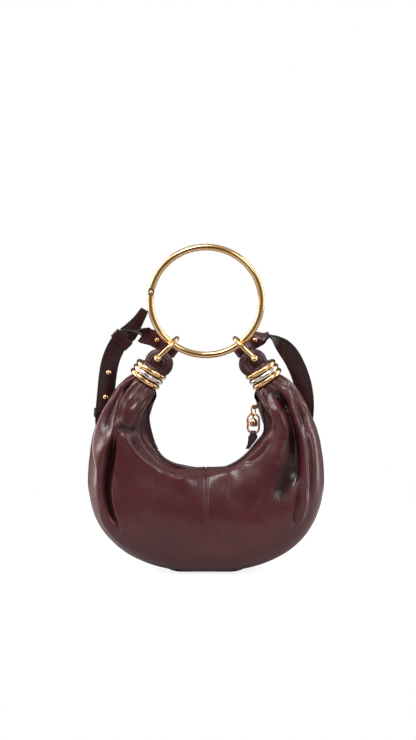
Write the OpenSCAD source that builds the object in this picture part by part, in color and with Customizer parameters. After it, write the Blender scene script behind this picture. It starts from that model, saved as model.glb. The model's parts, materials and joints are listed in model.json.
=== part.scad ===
/* [Bag body] */
// Width of the bag across its widest point
bag_w = 236; // [230:1:242]
// Height of the widest point above the base
belly_z = 95; // [93:1:97]
// Height of the upper shoulder curve above the widest point
shoulder_h = 138; // [136:1:140]
// Greatest depth of the bag, front to back
bag_d = 75; // [72:1:78]
// Thickness of the leather
leather_t = 1.8; // [1.4:0.1:2.0]
// Length of the flat base patch
base_l = 84; // [70:1:90]
// Width of the flat base patch
base_w = 30; // [26:1:32]

/* [Zip] */
// Height of the centre of the circle that the zip follows
zip_z = 158.7; // [158:0.1:159.5]
// Radius of the circle that the zip follows
zip_r = 57; // [56.8:0.1:57.2]
// Half width of the groove between the two panels
groove = 7; // [6.8:0.1:7.5]

/* [Horns and collars] */
// Distance of each collar's centre from the middle
collar_x = 57.5; // [57:0.1:58]
// Height of each collar's centre
collar_z = 199.5; // [199:0.1:200]
// Tilt of each collar towards the middle
collar_tilt = 34; // [33:0.5:35]
// Inner radius of a collar ring
collar_r = 12; // [11.9:0.1:12.2]
// Thickness of a collar ring's wire
collar_wire = 5; // [4.8:0.1:5.2]
// Spacing of the three rings of a collar
collar_pitch = 5.6; // [5.5:0.1:5.8]

/* [Shackles] */
// Distance of each shackle pin from the middle
pin_x = 47.7; // [47.5:0.1:47.9]
// Height of the shackle pins
pin_z = 216.8; // [216.6:0.1:217]
// Angle of the shackle legs above the horizontal
shackle_tilt = 44; // [43:0.5:45]
// Half distance between the two legs of a shackle
bow_r = 12.5; // [12.4:0.1:12.8]
// Distance from a shackle's pin to the crown of its bow
bow_l = 26.5; // [26.3:0.1:26.8]
// Radius of the shackle bar
bar_r = 2.2; // [2:0.1:2.2]
// Radius of a shackle pin
pin_r = 2; // [1.8:0.05:2]

/* [Bracelet] */
// Radius of the bracelet along the middle of its tube
ring_r = 54.8; // [54.6:0.1:55.2]
// Radius of the bracelet's tube
tube_r = 3.3; // [3:0.1:3.3]
// Forward lean of the bracelet
ring_lean = 9; // [7:0.5:9.5]
// Angle round the bracelet of the gate's hinge
hinge_a = 169; // [166:1:171]
// Angle round the bracelet of the gate's latch
latch_a = 226; // [225:0.5:227]

/* [Shoulder strap] */
// Width of the strap
strap_w = 18; // [16:0.5:19]
// Thickness of one layer of the strap
strap_t = 1.8; // [1.5:0.1:2]

/* [Hidden] */
$fn = 48;

leather = "#583434";
leather_dark = "#351f22";
gold = "#c89f62";
steel = "#c9b7a6";
cloth = "#33211f";

function lerp(a, b, k) = a + (b - a) * k;
function smooth(v) = let(c = min(1, max(0, v))) c * c * (3 - 2 * c);
function unit(v) = v / norm(v);
function spow(v, e) = sign(v) * pow(abs(v), e);

// ---- smooth routes and ribbons ----
function mid_curve(a, b, c, d, u) = 0.5 * (2 * b + (c - a) * u
    + (2 * a - 5 * b + 4 * c - d) * u * u + (3 * b - a - 3 * c + d) * u * u * u);
function route(p, n) = [
    for (i = [0 : len(p) - 2]) for (j = [0 : n - 1])
        mid_curve(p[max(i - 1, 0)], p[i], p[i + 1], p[min(i + 2, len(p) - 1)], j / n),
    p[len(p) - 1]
];
function place(r) = [r[0], r[1], r[2]];

// A band along a route whose rows are [x, y, z, twist, width]
module ribbon(rows, thick) {
    last = len(rows) - 1;
    rings = [for (i = [0 : last]) let(
        along = unit(place(rows[min(i + 1, last)]) - place(rows[max(i - 1, 0)])),
        flat = unit([-along[2], 0, along[0]]),
        face = unit(cross(along, flat)),
        side = cos(rows[i][3]) * flat + sin(rows[i][3]) * face,
        up = unit(cross(along, side)),
        mid = place(rows[i]),
        hw = rows[i][4] / 2,
        ht = thick / 2)
        for (k = [[-hw, -ht], [hw, -ht], [hw, ht], [-hw, ht]]) mid + k[0] * side + k[1] * up];
    walls = [for (i = [0 : last - 1]) for (k = [0 : 3]) let(a = 4 * i + k, b = 4 * i + (k + 1) % 4)
        for (f = [[a, a + 4, b], [b, a + 4, b + 4]]) f];
    e = 4 * last;
    ends = [[0, 1, 2], [0, 2, 3], [e, e + 2, e + 1], [e, e + 3, e + 2]];
    polyhedron(rings, concat(walls, ends), convexity = 8);
}

// ---- bag body ----
neck_a = 90 + 27.6;
neck_end = 1.5 * collar_pitch;
body_r = collar_r - 0.2;
collar_in = [-cos(collar_tilt), -sin(collar_tilt)];
collar_up = [-sin(collar_tilt), cos(collar_tilt)];
neck_mid = [collar_x, collar_z] - neck_end * collar_up;

// Radius of the panels' upper edge about the zip's centre, by angle
rim_table = [[-90, 53], [-76, 54.6], [-66, 57.6], [-52, 58.8], [-30, 59], [-14, 58],
    [-4, 54.8], [4, 52.8], [14, 51.8], [22, 52.8], [27.6, 57]];
function inner_line(t) = let(
    a = -90 + neck_a * t,
    r = lookup(a, rim_table),
    free = [r * cos(a), zip_z + r * sin(a)],
    held = neck_mid + body_r * collar_in)
    lerp(free, held, smooth((t - 0.94) / 0.06));
function outer_line(t) = let(
    a = -90 + 139 * t,
    low = [bag_w / 2 * pow(abs(cos(a)), 0.87), belly_z * (1 - pow(abs(sin(a)), 0.87))],
    high = [bag_w / 2 * cos(a), belly_z + shoulder_h * sin(a)],
    free = a < 0 ? low : high,
    held = neck_mid - body_r * collar_in)
    lerp(free, held, smooth((t - 0.95) / 0.05));
function half_depth(t) = lerp(body_r, bag_d / 2, pow(max(0, 1 - pow(t, 3.2)), 0.8));
function flat_base(z) = z < 4 ? 1.6 : z < 16 ? 1.6 + (z - 4) * 1.2 : z;

// A point of the right front quarter: t from the centre seam to the collar, q from rim to keel
function skin(t, q, inset) = let(
    k = smooth((t - 0.86) / 0.14),
    e = lerp(0.8, 1, k),
    p = inner_line(t),
    o = outer_line(t),
    run = norm(o - p),
    dir = (o - p) / run,
    rim = lerp(groove, 0.3, smooth((t - 0.9) / 0.1)),
    a = (run - inset) * (1 - spow(cos(q), e)) / 2,
    b = rim * (0.5 + 0.5 * cos(q))
        + (half_depth(t) - rim / 2) * pow(max(0, sin(q)), e) * (1 - 0.2 * (1 - k) * cos(q)),
    wall = max(inset > 0 ? min(b, 0.06) : 0, b - inset * (q < 90 ? 1 : sin(q))),
    xz = p + dir * a,
    lift = xz[1] < 30 ? inset * (1 - xz[1] / 30) : 0)
    [t == 0 ? 0 : xz[0], q == 180 ? 0 : -wall, flat_base(xz[1]) + lift];

module quarter(t0, t1, q0, q1, nt, nq, near, far) {
    count = (nt + 1) * (nq + 1);
    points = [for (layer = [near, far]) for (i = [0 : nt]) for (j = [0 : nq])
        skin(lerp(t0, t1, i / nt), lerp(q0, q1, j / nq), layer)];
    function at(i, j, s) = s * count + i * (nq + 1) + j;
    sheets = [for (i = [0 : nt - 1]) for (j = [0 : nq - 1]) each [
        [at(i, j, 0), at(i + 1, j, 0), at(i, j + 1, 0)],
        [at(i + 1, j, 0), at(i + 1, j + 1, 0), at(i, j + 1, 0)],
        [at(i, j, 1), at(i, j + 1, 1), at(i + 1, j, 1)],
        [at(i + 1, j, 1), at(i, j + 1, 1), at(i + 1, j + 1, 1)]]];
    seams = [for (j = [0 : nq - 1]) each [
        [at(0, j, 0), at(0, j + 1, 0), at(0, j, 1)],
        [at(0, j + 1, 0), at(0, j + 1, 1), at(0, j, 1)],
        [at(nt, j, 0), at(nt, j, 1), at(nt, j + 1, 0)],
        [at(nt, j + 1, 0), at(nt, j, 1), at(nt, j + 1, 1)]]];
    edges = [for (i = [0 : nt - 1]) each [
        [at(i, 0, 0), at(i, 0, 1), at(i + 1, 0, 0)],
        [at(i + 1, 0, 0), at(i, 0, 1), at(i + 1, 0, 1)],
        [at(i, nq, 0), at(i + 1, nq, 0), at(i, nq, 1)],
        [at(i + 1, nq, 0), at(i + 1, nq, 1), at(i, nq, 1)]]];
    polyhedron(points, concat(sheets, seams, edges), convexity = 10);
}
module panel() color(leather) quarter(0, 1, 0, 180, 26, 14, 0, leather_t);
module front_panel_right() panel();
module front_panel_left() mirror([1, 0, 0]) panel();
module back_panel_right() mirror([0, 1, 0]) panel();
module back_panel_left() mirror([1, 0, 0]) mirror([0, 1, 0]) panel();

module stadium(length, width, height) linear_extrude(height) {
    square([length - width, width], center = true);
    for (s = [-1, 1]) translate([s * (length - width) / 2, 0]) circle(d = width);
}
module base_patch() color(leather) stadium(base_l, base_w, 1.6);
module base_plate() color(cloth) translate([0, 0, 8.3]) stadium(64, 20, 1.2);
module lining() color(cloth) for (x = [0, 1]) for (y = [0, 1])
    mirror([x, 0, 0]) mirror([0, y, 0]) quarter(0, 0.7, 24, 180, 12, 9, leather_t + 1.6, leather_t + 2.4);
module inner_pocket() color(cloth) difference() {
    translate([-36, 22.5, 34]) cube([72, 2.6, 40]);
    translate([-34.8, 23.2, 35.2]) cube([69.6, 1.2, 40]);
}

// ---- zip: everything is turned about the zip circle's centre ----
zip_end = 16;
chain_to = 142;
module zip_arc(from, span) translate([0, 0, zip_z]) rotate([90, 0, 0]) rotate([0, 0, from])
    rotate_extrude(angle = span, $fn = 96) children();
module tape() zip_arc(-180 - zip_end, 180 + 2 * zip_end) translate([zip_r - 0.5, 1.5]) square([1, 3.4]);
module zip_tape_front() color(cloth) tape();
module zip_tape_back() color(cloth) mirror([0, 1, 0]) tape();
module zip_teeth() color(gold) zip_arc(-chain_to, chain_to + zip_end - 2)
    translate([zip_r - 0.8, -1.3]) square([1.6, 2.6]);
module stop(a) zip_arc(a, 1.6) translate([zip_r - 1.4, -0.8]) square([2.8, 1.6]);
module zip_stop_left() color(gold) stop(-chain_to - 1.8);
module zip_stop_right() color(gold) stop(zip_end + 1.4);

// ---- necks, collars and loops, for one side and mirrored for the other ----
module side(s) mirror([s < 0 ? 1 : 0, 0, 0]) children();
module on_collar(h) translate([collar_x, 0, collar_z]) rotate([0, -collar_tilt, 0]) translate([0, 0, h])
    children();
module neck_core() color(leather) on_collar(-neck_end) cylinder(r = body_r - 0.1, h = neck_end);
module neck_core_left() side(-1) neck_core();
module neck_core_right() side(1) neck_core();

module collar_ring(level, tint) color(tint) on_collar(level * collar_pitch) rotate([0, level * 1.5, 0])
    rotate_extrude() translate([collar_r + collar_wire / 2, 0]) circle(d = collar_wire, $fn = 32);
module collar_left_lower() side(-1) collar_ring(-1, gold);
module collar_left_middle() side(-1) collar_ring(0, steel);
module collar_left_upper() side(-1) collar_ring(1, gold);
module collar_right_lower() side(1) collar_ring(-1, gold);
module collar_right_middle() side(1) collar_ring(0, steel);
module collar_right_upper() side(1) collar_ring(1, gold);

loop_x = 47;
loop_z = 210.3;
loop_r = 14.3;
loop_half = 8;
bore_r = pin_r + 0.08;
loop_foot = 8.9;
module loop() color(leather) difference() {
    union() {
        difference() {
            translate([loop_x, 0, loop_z]) rotate([90, 0, 0]) rotate_extrude($fn = 64) {
                translate([0, -loop_half]) square([loop_r - 5, 2 * loop_half]);
                translate([0, -loop_half + 5]) square([loop_r, 2 * loop_half - 10]);
                for (s = [-1, 1]) translate([loop_r - 5, s * (loop_half - 5)]) circle(r = 5, $fn = 32);
            }
            on_collar(loop_foot - 30) cylinder(r = 40, h = 30);
        }
        on_collar(0) cylinder(r = body_r - 0.1, h = loop_foot + 0.5);
    }
    translate([pin_x, 0, pin_z]) rotate([90, 0, 0]) cylinder(r = bore_r, h = 60, center = true);
}
module loop_left() side(-1) loop();
module loop_right() side(1) loop();

// ---- shackles ----
leg_l = bow_l - bow_r;
boss_r = 3.6;
module on_pin() translate([pin_x, 0, pin_z]) rotate([0, shackle_tilt - 180, 0]) children();
module bow() color(gold) difference() {
    on_pin() {
        translate([leg_l, 0, 0]) rotate([0, 0, -90]) rotate_extrude(angle = 180)
            translate([bow_r, 0]) circle(r = bar_r, $fn = 32);
        for (s = [-1, 1]) translate([0, s * bow_r, 0]) {
            rotate([0, 90, 0]) cylinder(r = bar_r, h = leg_l, $fn = 32);
            sphere(r = boss_r, $fn = 32);
        }
    }
    translate([pin_x, 0, pin_z]) rotate([90, 0, 0]) cylinder(r = pin_r + 0.05, h = 60, center = true);
}
module pin() color(gold) translate([pin_x, 0, pin_z]) {
    rotate([90, 0, 0]) cylinder(r = pin_r, h = 2 * bow_r + 8, center = true);
    translate([0, -bow_r - 5.4, 0]) sphere(r = 2.9, $fn = 32);
    translate([0, bow_r + 4.4, 0]) sphere(r = 2.4, $fn = 32);
}
module shackle_left_bow() side(-1) bow();
module shackle_left_pin() side(-1) pin();
module shackle_right_bow() side(1) bow();
module shackle_right_pin() side(1) pin();

// ---- bracelet, in its own plane and then leaned about the line through both shackles ----
swing_z = 230;
cross_x = 34;
ring_rise = sqrt(ring_r * ring_r - cross_x * cross_x);
knuckle_r = 3.05;
knuckle_half = 1.25;
knuckle_play = 0.1;
hinge_gap = 3.6;
gate_gap = 0.35;
hinge_pin_r = 1.08;
hinge_bore_r = hinge_pin_r + 0.06;
module ring_place() translate([0, 0, swing_z]) rotate([ring_lean, 0, 0]) translate([0, 0, ring_rise])
    rotate([90, 0, 0]) children();
module ring_point(a) rotate([0, 0, a]) translate([ring_r, 0, 0]) children();
module tube(from, span) rotate([0, 0, from]) rotate_extrude(angle = span, $fn = 144)
    translate([ring_r, 0]) circle(r = tube_r, $fn = 32);
// One leaf of the hinge: an eye round the pin and a neck that enters the tube's end
module leaf(low, high, neck, reach) ring_point(hinge_a) translate([0, 0, low]) {
    cylinder(r = knuckle_r, h = high - low);
    translate([-neck, min(0, reach), 0.05]) cube([2 * neck, abs(reach), high - low - 0.1]);
}
module hinge_bore() ring_point(hinge_a) cylinder(r = hinge_bore_r, h = 20, center = true);
latch_at = latch_a + 3.2;
latch_r = 1.5;
latch_depth = 1.4;
module bracelet_arc() color(gold) ring_place() difference() {
    union() {
        tube(latch_a + gate_gap, 360 - (latch_a - hinge_a) - gate_gap - hinge_gap);
        leaf(-knuckle_half, knuckle_half, 2.4, -5);
    }
    hinge_bore();
    ring_point(latch_at) translate([0, 0, latch_depth]) cylinder(r = latch_r + 0.08, h = 10);
}
module bracelet_gate() color(gold) ring_place() difference() {
    union() {
        tube(hinge_a + hinge_gap, latch_a - hinge_a - hinge_gap);
        leaf(knuckle_half + knuckle_play, tube_r - 0.35, 1.3, 5);
        leaf(0.35 - tube_r, -knuckle_half - knuckle_play, 1.3, 5);
    }
    hinge_bore();
}
module bracelet_hinge_pin() color(gold) ring_place() ring_point(hinge_a) {
    cylinder(r = hinge_pin_r, h = 2 * tube_r + 1, center = true);
    for (s = [-1, 1]) translate([0, 0, s * (tube_r + 1)]) sphere(r = 1.5, $fn = 24);
}
module bracelet_latch_button() color(gold) ring_place() ring_point(latch_at) {
    translate([0, 0, latch_depth + 1]) cylinder(r = latch_r, h = tube_r - latch_depth + 0.6);
    translate([0, 0, tube_r + 1.6]) sphere(r = latch_r + 0.2, $fn = 24);
}

// ---- zip slider and pull ----
slider_a = 9;
bail_r = 47.8;
bail_wire = 0.8;
bail_at = [bail_r * cos(slider_a), 0, zip_z + bail_r * sin(slider_a)];
module on_zip(r) translate([0, 0, zip_z]) rotate([0, -slider_a, 0]) translate([r, 0, 0]) children();
module zip_slider() color(gold) {
    zip_arc(slider_a - 5.5, 11) translate([zip_r - 3.6, -4.4]) square([2.5, 8.8]);
    zip_arc(slider_a - 5.5, 11) translate([zip_r + 1, -4.4]) square([1.5, 8.8]);
    for (s = [-1, 1]) on_zip((bail_r + zip_r - 3) / 2) translate([0, s * 3.1, 0])
        cube([zip_r - 1 - bail_r, 1, 3], center = true);
    on_zip(bail_r) rotate([90, 0, 0]) cylinder(r = bail_wire, h = 7.2, center = true, $fn = 24);
}

// An upright oval ring, centred on the origin
module oval(width, height, wire) {
    turn = width / 2 - wire;
    straight = height - width;
    for (s = [0, 180]) rotate([0, s, 0]) translate([0, 0, straight / 2]) rotate([90, 0, 0])
        rotate_extrude(angle = 180) translate([turn, 0]) circle(r = wire, $fn = 20);
    for (s = [-1, 1]) translate([s * turn, 0, 0])
        cylinder(r = wire, h = straight, center = true, $fn = 20);
}
play = 0.1;
link_w = 6.6;
link_turn = 42;
link_h = 11.6;
link_wire = 0.7;
link_mid = bail_at[2] + bail_wire + play + 2 * link_wire - link_h / 2;
link_foot = link_mid - link_h / 2 + link_wire;
module pull_link() color(gold) translate([bail_at[0], 0, link_mid]) rotate([0, 0, link_turn])
    oval(link_w, link_h, link_wire);
pull_w = 14;
pull_h = 22;
pull_wire = 1.1;
pull_turn = 18;
pull_mid = link_foot + link_wire + play + 2 * pull_wire - pull_h / 2;
module pull_ring() color(gold) translate([bail_at[0], 0, pull_mid]) rotate([0, 0, -pull_turn])
    oval(pull_w, pull_h, pull_wire);
bell_r = 4.2;
bell_h = 8;
bell_top = link_foot - 2.4;
bell_wall = 1.2;
module pull_bell() color(gold) translate([bail_at[0], 0, bell_top]) {
    translate([0, 0, -0.5]) cylinder(r = 0.9, h = link_foot - link_wire - bell_top + 0.45, $fn = 24);
    rotate_extrude($fn = 40) difference() {
        union() {
            translate([0, -bell_r]) intersection() {
                circle(r = bell_r);
                square([bell_r, bell_r]);
            }
            translate([0, -bell_h]) square([bell_r, bell_h - bell_r + 0.01]);
        }
        translate([0, -bell_h - 1]) square([bell_r - bell_wall, bell_h - bell_r]);
    }
}
tab_pin = [bail_at[0], 0, pull_mid - pull_h / 2 + pull_wire];
tab_rows = [[0, 0, -2.2, 0, 7.6], [-1.6, 0, -6, 0, 6.8], [-3.8, 0, -10.5, 0, 5.2], [-6.2, 0, -15, 0, 3.8]];
module pull_tab() color(leather_dark) translate(tab_pin) rotate([0, 0, -pull_turn]) {
    rotate([0, 90, 0]) difference() {
        cylinder(r = 2.7, h = 4.4, center = true, $fn = 32);
        cylinder(r = pull_wire + 0.65, h = 9, center = true, $fn = 32);
    }
    ribbon(route(tab_rows, 3), 2.2);
}

// ---- shoulder strap: a folded tab round the rear leg of each shackle ----
tab_tilt = 37;
tab_hold = 12;
tab_y = bow_r;
tab_outer = 61;
wrap_r = bar_r + 0.35;
layer = 1.4;
tab_fold = -8;
stud_at = 12.5;
leg_at = [pin_x - tab_hold * cos(shackle_tilt), pin_z + tab_hold * sin(shackle_tilt)];
module on_tab() translate([leg_at[0], tab_y, leg_at[1]]) rotate([0, -tab_tilt, 0]) children();
function wrap_outline(r, end) = concat(
    [for (a = [90 : 15 : 270]) [tab_fold + r * cos(a), r * sin(a)]],
    [[3, -r], [9, -r + wrap_r], [end, -r + wrap_r], [end, r - wrap_r], [9, r - wrap_r], [3, r]]);
module tab_profile() difference() {
    polygon(wrap_outline(wrap_r + layer, 34));
    polygon(wrap_outline(wrap_r + 0.001, 8.99));
}
module strap_tab() color(leather_dark) difference() {
    intersection() {
        on_tab() rotate([90, 0, 0]) rotate([-90, 0, 0]) linear_extrude(30, center = true) tab_profile();
        on_tab() rotate([90, 0, 0]) linear_extrude(30, center = true)
            polygon([[-14, -5], [-14, 5], [20, 9], [34, 9], [34, -9], [20, -9]]);
        translate([0, -50, 150]) cube([tab_outer, 100, 150]);
    }
    on_tab() translate([stud_at, 0, 0]) rotate([90, 0, 0]) cylinder(r = 1.3, h = 20, center = true);
}
module strap_tab_right() side(1) strap_tab();
module strap_tab_left() side(-1) strap_tab();
module tab_stud() color(gold) on_tab() translate([stud_at, 0, 0]) {
    rotate([90, 0, 0]) cylinder(r = 1.2, h = 5, center = true, $fn = 24);
    translate([0, -3.95, 0]) sphere(r = 2.5, $fn = 32);
    translate([0, 1.6, 0]) rotate([-90, 0, 0]) cylinder(r = 3, h = 1.2, $fn = 32);
}
module strap_tab_stud_right() side(1) tab_stud();
module strap_tab_stud_left() side(-1) tab_stud();

// Routes of the strap's two parts, as [x, y, z, twist, width] rows
w = strap_w;
right_rows = [[63.4, 12.5, 238, 0, 6], [67, 12.7, 236.6, 0, 8], [71.5, 13, 233, 0, 12], [78, 14, 225.5, 0, w],
    [84.5, 16, 216.5, 0, w], [89.8, 18, 207, 0, w], [94.6, 21, 195.5, 0, w], [98.4, 24, 182, 4, w],
    [100.4, 27, 165, 8, w], [99.6, 31, 146, 16, w], [96.4, 35.5, 124, 26, w], [90, 40, 100, 36, w],
    [79, 44, 76, 46, w], [63, 47, 54, 54, w], [42, 48.5, 37, 60, w], [20, 49, 28, 62, w],
    [0, 49, 25.5, 62, w]];
left_rows = [[-79, 15.5, 236.6, 0, w], [-86, 16.2, 230.5, 0, w], [-92, 17.4, 220.5, 0, w],
    [-96.4, 19.6, 208.5, 0, w], [-99, 22.6, 195, 0, w], [-100.8, 26.6, 180, 2, w], [-102.8, 31, 163, 6, w],
    [-104, 35, 145, 14, w], [-101.4, 38.5, 122, 26, w], [-93.5, 41.5, 99, 36, w], [-81.5, 44.5, 75.6, 46, w],
    [-64.5, 47, 54, 54, w], [-43, 48.5, 37, 60, w], [-20, 49, 28, 62, w], [0, 49, 25.5, 62, w]];
short_rows = [[-63.4, 12.5, 240.4, 0, 8], [-68, 12.6, 240.4, 0, 10], [-73, 12.8, 239.6, 0, 14],
    [-79, 13, 236.6, 0, w], [-86, 13.7, 230.5, 0, w], [-92, 14.9, 220.5, 0, w], [-96.4, 17.1, 208.5, 0, w],
    [-99, 20.1, 195, 0, w], [-100.8, 24, 180, -2, w], [-102.6, 28.3, 163, -6, w], [-103.4, 31, 151, -11, w]];
tongue_rows = [[-78.4, 15.7, 237.4, 0, w], [-74, 16.2, 243, 0, 15], [-69, 16.6, 250, 0, 11],
    [-64.4, 16.8, 257.5, 0, 9], [-62.4, 16.8, 261, 0, 7]];
function reversed(p) = [for (i = [len(p) - 1 : -1 : 0]) p[i]];

module strap_long() color(leather_dark)
    ribbon(concat(route(right_rows, 2), [for (i = [1 : 2 * len(left_rows) - 2])
        route(reversed(left_rows), 2)[i]]), strap_t);
module strap_short() color(leather_dark) ribbon(route(short_rows, 2), strap_t);
module strap_tongue() color(leather_dark) translate([1.2, 0, 1.4]) ribbon(route(tongue_rows, 3), strap_t);

module on_strap(x, y, z, turn) translate([x, y, z]) rotate([0, turn, 0]) children();
module keeper(height) color(leather_dark) difference() {
    cube([strap_w + 4, 8.4, height], center = true);
    cube([strap_w + 1.4, 5.8, height + 2], center = true);
}
module strap_keeper_upper() on_strap(-84.4, 14.8, 232.2, 45) keeper(10);
module strap_keeper_lower() on_strap(-103.2, 31.4, 155.5, 5) rotate([13, 0, 0]) rotate([0, 0, 9]) keeper(8);
module strap_stud(x, y, z) color(gold) translate([x, y, z]) {
    translate([0, -2.3, 0]) sphere(r = 2.6, $fn = 32);
    rotate([90, 0, 0]) cylinder(r = 1.2, h = 5, center = true, $fn = 24);
}
module strap_stud_upper() strap_stud(-97.6, 19.3, 198.9);
module strap_stud_lower() strap_stud(-101.4, 25.8, 172.9);

front_panel_left();
front_panel_right();
back_panel_left();
back_panel_right();
base_patch();
base_plate();
lining();
inner_pocket();
zip_tape_front();
zip_tape_back();
zip_teeth();
zip_stop_left();
zip_stop_right();
neck_core_left();
neck_core_right();
collar_left_lower();
collar_left_middle();
collar_left_upper();
collar_right_lower();
collar_right_middle();
collar_right_upper();
loop_left();
loop_right();
zip_slider();
pull_link();
pull_bell();
pull_ring();
pull_tab();
shackle_left_bow();
shackle_left_pin();
shackle_right_bow();
shackle_right_pin();
bracelet_arc();
bracelet_gate();
bracelet_hinge_pin();
bracelet_latch_button();
strap_tab_left();
strap_tab_right();
strap_tab_stud_left();
strap_tab_stud_right();
strap_long();
strap_short();
strap_tongue();
strap_keeper_upper();
strap_keeper_lower();
strap_stud_upper();
strap_stud_lower();
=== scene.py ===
import json
import math

import bpy
import numpy as np
from mathutils import Euler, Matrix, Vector


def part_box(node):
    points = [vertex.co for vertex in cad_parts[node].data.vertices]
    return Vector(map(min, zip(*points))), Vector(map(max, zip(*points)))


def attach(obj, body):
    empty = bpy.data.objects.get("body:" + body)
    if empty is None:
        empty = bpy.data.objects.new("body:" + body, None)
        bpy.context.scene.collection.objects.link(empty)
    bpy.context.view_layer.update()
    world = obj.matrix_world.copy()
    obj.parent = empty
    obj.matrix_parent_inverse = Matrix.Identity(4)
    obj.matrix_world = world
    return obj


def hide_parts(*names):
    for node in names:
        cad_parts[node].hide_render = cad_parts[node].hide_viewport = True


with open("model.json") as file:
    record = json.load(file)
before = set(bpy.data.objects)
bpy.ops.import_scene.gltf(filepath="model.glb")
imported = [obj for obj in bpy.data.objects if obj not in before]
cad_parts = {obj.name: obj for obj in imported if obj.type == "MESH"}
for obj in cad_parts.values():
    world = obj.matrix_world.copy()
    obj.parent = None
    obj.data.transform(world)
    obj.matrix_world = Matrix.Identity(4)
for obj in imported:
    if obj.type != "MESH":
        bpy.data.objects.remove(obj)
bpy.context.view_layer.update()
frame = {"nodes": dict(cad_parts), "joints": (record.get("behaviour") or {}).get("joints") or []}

MM = 0.001
UP = np.array([0.0, 0.0, 1.0])
BACK = np.array([0.0, 1.0, 0.0])


# ---------------------------------------------------------------- measures, in millimetres, from the frame
def node_box(name):
    low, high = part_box(name)
    return np.array(low) / MM, np.array(high) / MM


def node_mid(name):
    low, high = node_box(name)
    return (low + high) / 2


def joint_place(name):
    return np.array(next(j["pos_m"] for j in frame["joints"] if j["name"] == name)) / MM


HALF_WIDTH = node_box("front_panel_right")[1][0]
HALF_DEPTH = node_box("back_panel_right")[1][1]
ZIP_MID = joint_place("slider_travel")[2]
ZIP_RADIUS = ZIP_MID - node_box("zip_tape_front")[0][2] - 0.5
COLLAR = node_mid("collar_right_middle")[[0, 2]]
COLLAR_TILT = math.radians(34)
COLLAR_IN = np.array([-math.cos(COLLAR_TILT), -math.sin(COLLAR_TILT)])
COLLAR_UP = np.array([-math.sin(COLLAR_TILT), math.cos(COLLAR_TILT)])
COLLAR_INSIDE = 12.0
COLLAR_HALF = 8.4  # half the height of the three rings together
LOOP_LOW, LOOP_HIGH = node_box("loop_right")
LOOP_RADIUS = 14.3
LOOP_MID = np.array([LOOP_LOW[0] + LOOP_RADIUS, LOOP_HIGH[2] - LOOP_RADIUS])
PIN = joint_place("shackle_right_pivot")
BELLY = 95.0  # height where the bag is widest
SHOULDER = 138.0  # how far the outline would rise above that, without the collars
ROUNDNESS = 0.87  # exponent of the outline below the widest place
GROOVE = 7.0  # half the width of the opening between the panels
BASE_TOP = 1.6  # thickness of the base patch
BASE_BLEND = 4.0  # height up to which the body flattens onto the patch

# The view that the folds are drawn in: straight on, a little from above
VIEW_RISE = math.radians(7.5)
VIEW_AWAY = 1750.0
VIEW_MID = 203.5


# ---------------------------------------------------------------- small helpers
def lerp(a, b, k):
    return a + (b - a) * k


def smooth(v):
    v = np.clip(v, 0, 1)
    return v * v * (3 - 2 * v)


def spow(v, e):
    """A power that keeps the sign of v."""
    return np.sign(v) * np.abs(v) ** e


def unit(v):
    return v / np.maximum(np.linalg.norm(v, axis=-1, keepdims=True), 1e-9)


def spline(points, steps):
    """A Catmull-Rom curve through the points, with that many steps between each two."""
    p = np.array(points, float)
    p = np.vstack([2 * p[0] - p[1], p, 2 * p[-1] - p[-2]])
    out = []
    for i in range(1, len(p) - 2):
        u = np.linspace(0, 1, steps, endpoint=False)[:, None]
        a, b, c, d = p[i - 1 : i + 3]
        bend, twist = 2 * a - 5 * b + 4 * c - d, 3 * b - a - 3 * c + d
        out.append(0.5 * (2 * b + (c - a) * u + bend * u**2 + twist * u**3))
    return np.vstack(out + [p[-2:-1]])


def even(path, gap):
    """The same path with its points about gap apart."""
    run = np.concatenate([[0], np.cumsum(np.linalg.norm(np.diff(path[:, :3], axis=0), axis=1))])
    at = np.linspace(0, run[-1], max(2, int(round(run[-1] / gap)) + 1))
    return np.stack([np.interp(at, run, path[:, k]) for k in range(path.shape[1])], 1)


def grid_faces(rows, cols, around=False):
    """The quads between the points of a grid, closed round its columns if around."""
    r = np.arange(rows - 1)[:, None]
    c = np.arange(cols if around else cols - 1)[None, :]
    d = (c + 1) % cols
    quads = np.stack([r * cols + c, r * cols + d, (r + 1) * cols + d, (r + 1) * cols + c], -1)
    return quads.reshape(-1, 4).tolist()


def solid_tube(rings):
    """A closed mesh from an array of rings, with both ends filled."""
    rows, cols = rings.shape[:2]
    faces = grid_faces(rows, cols, around=True)
    faces.append(list(range(cols))[::-1])
    faces.append([(rows - 1) * cols + k for k in range(cols)])
    return rings.reshape(-1, 3), faces


def together(parts):
    """One mesh from several."""
    points, faces, count = [], [], 0
    for p, f in parts:
        points.append(np.asarray(p))
        faces += [[k + count for k in face] for face in f]
        count += len(p)
    return np.vstack(points), faces


def piece(name, points, faces, looks, body=None, replaces=(), pick=None, flip=False):
    """Makes a mesh object and tells the frame what it rides on and which CAD pieces it replaces."""
    mesh = bpy.data.meshes.new(name)
    if flip:
        faces = [f[::-1] for f in faces]
    mesh.from_pydata((np.asarray(points, float) * MM).tolist(), [], faces)
    mesh.polygons.foreach_set("use_smooth", np.ones(len(mesh.polygons), bool))
    for look in looks if isinstance(looks, (list, tuple)) else [looks]:
        mesh.materials.append(look)
    if pick is not None:
        mesh.polygons.foreach_set("material_index", np.asarray(pick, np.int32))
    mesh.update()
    made = bpy.data.objects.new(name, mesh)
    bpy.context.scene.collection.objects.link(made)
    if body:
        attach(made, body)
    if replaces:
        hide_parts(*replaces)
    return made


def outward(points, faces):
    """Turns the faces of a closed mesh outward."""
    p = np.asarray(points)
    volume = 0.0
    for f in faces:
        for k in range(1, len(f) - 1):
            volume += np.dot(p[f[0]], np.cross(p[f[k]], p[f[k + 1]]))
    return faces if volume > 0 else [f[::-1] for f in faces]


def mirrored(points, faces):
    return np.asarray(points) * [-1, 1, 1], [f[::-1] for f in faces]


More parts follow.
